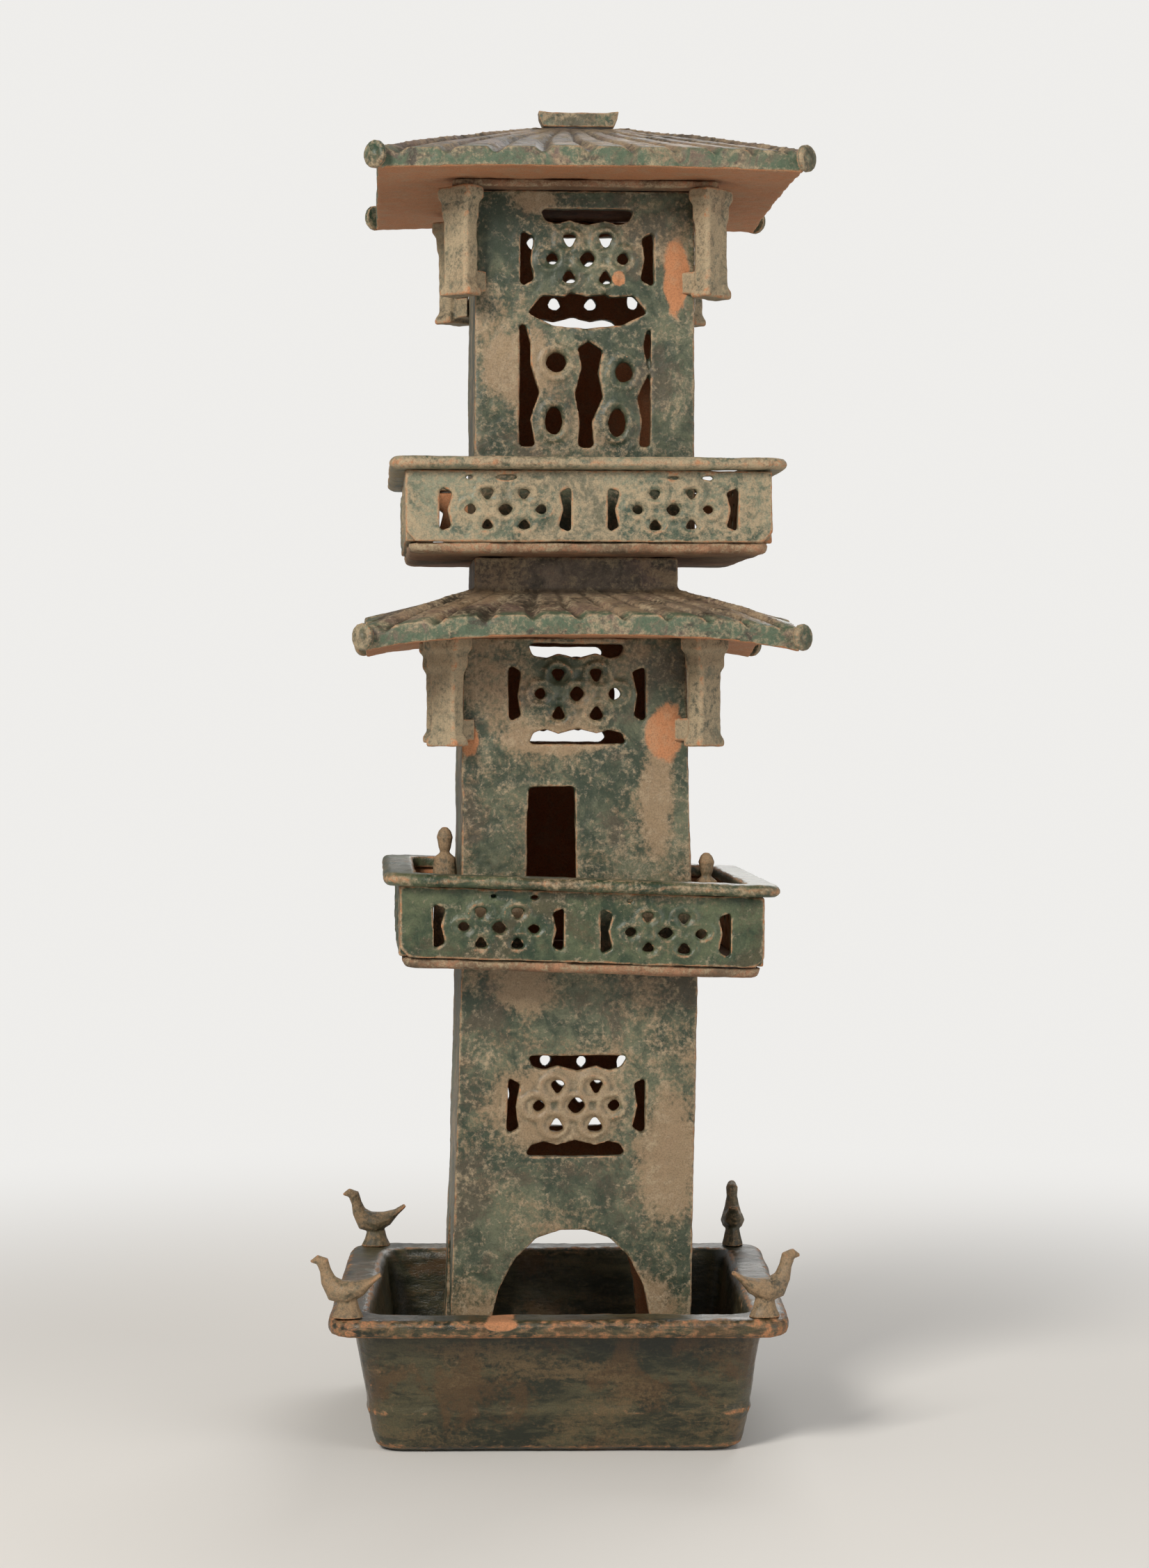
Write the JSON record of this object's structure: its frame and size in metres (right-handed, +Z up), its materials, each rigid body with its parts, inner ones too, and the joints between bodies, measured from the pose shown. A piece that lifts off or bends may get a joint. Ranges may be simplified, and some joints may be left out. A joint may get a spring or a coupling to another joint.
{
  "type": "pottery watchtower",
  "caption": "Glazed earthenware model watchtower: pond basin with birds, arched lower tower, balconied storeys with pierced lattice, corner brackets and hipped tiled roofs",
  "frame": {"origin": "middle of the basin's flat underside", "axes": "+Z up through the tower, front towards -Y, +X to the viewer's right"},
  "size_m": [0.3665, 0.3537, 0.999],
  "materials": {
    "basin_glaze": "glossy dark green-brown lead glaze",
    "wall_glaze": "weathered green glaze with cream deposits",
    "rail_glaze": "green glaze pooled round the cut lattice",
    "tile_glaze": "worn green and brown glaze with tan deposits",
    "bare_clay": "matt unglazed orange earthenware"
  },
  "bodies": {
    "basin": {"basin": "basin_glaze", "bird_front_left": "basin_glaze", "bird_back_left": "basin_glaze", "bird_front_right": "basin_glaze", "bird_back_right": "basin_glaze"},
    "lower_tower": {"lower_wall_front": "wall_glaze", "lower_wall_right": "wall_glaze", "lower_wall_back": "wall_glaze", "lower_wall_left": "wall_glaze"},
    "middle_storey": {"lower_balcony_floor": "bare_clay", "lower_balcony_rail_front": "rail_glaze", "lower_balcony_rail_right": "rail_glaze", "lower_balcony_rail_back": "rail_glaze", "lower_balcony_rail_left": "rail_glaze", "lower_balcony_rim": "rail_glaze", "middle_wall_front": "wall_glaze", "middle_wall_right": "wall_glaze", "middle_wall_back": "wall_glaze", "middle_wall_left": "wall_glaze", "guard_left": "bare_clay", "guard_right": "bare_clay", "middle_bracket_1": "wall_glaze", "middle_bracket_2": "wall_glaze", "middle_bracket_3": "wall_glaze", "middle_bracket_4": "wall_glaze"},
    "lower_roof": {"lower_roof": "tile_glaze", "lower_roof_tile_end_1": "tile_glaze", "lower_roof_tile_end_2": "tile_glaze", "lower_roof_tile_end_3": "tile_glaze", "lower_roof_tile_end_4": "tile_glaze"},
    "upper_storey": {"upper_balcony_floor": "bare_clay", "upper_balcony_rail_front": "rail_glaze", "upper_balcony_rail_right": "rail_glaze", "upper_balcony_rail_back": "rail_glaze", "upper_balcony_rail_left": "rail_glaze", "upper_balcony_rim": "rail_glaze", "upper_wall_front": "wall_glaze", "upper_wall_right": "wall_glaze", "upper_wall_back": "wall_glaze", "upper_wall_left": "wall_glaze", "upper_bracket_1": "wall_glaze", "upper_bracket_2": "wall_glaze", "upper_bracket_3": "wall_glaze", "upper_bracket_4": "wall_glaze", "wall_plate": "bare_clay"},
    "top_roof": {"top_roof": "tile_glaze", "top_roof_tile_end_1": "tile_glaze", "top_roof_tile_end_2": "tile_glaze", "top_roof_tile_end_3": "tile_glaze", "top_roof_tile_end_4": "tile_glaze", "main_ridge": "tile_glaze"}
  },
  "joints": [
    {"name": "tower_lift", "type": "slide", "parent": "basin", "child": "lower_tower", "axis": [0, 0, 1], "range_m": [0, 0.12]},
    {"name": "middle_lift", "type": "slide", "parent": "lower_tower", "child": "middle_storey", "axis": [0, 0, 1], "range_m": [0, 0.05]},
    {"name": "lower_roof_lift", "type": "slide", "parent": "middle_storey", "child": "lower_roof", "axis": [0, 0, 1], "range_m": [0, 0.05]},
    {"name": "upper_lift", "type": "slide", "parent": "lower_roof", "child": "upper_storey", "axis": [0, 0, 1], "range_m": [0, 0.05]},
    {"name": "top_roof_lift", "type": "slide", "parent": "upper_storey", "child": "top_roof", "axis": [0, 0, 1], "range_m": [0, 0.05]}
  ]
}
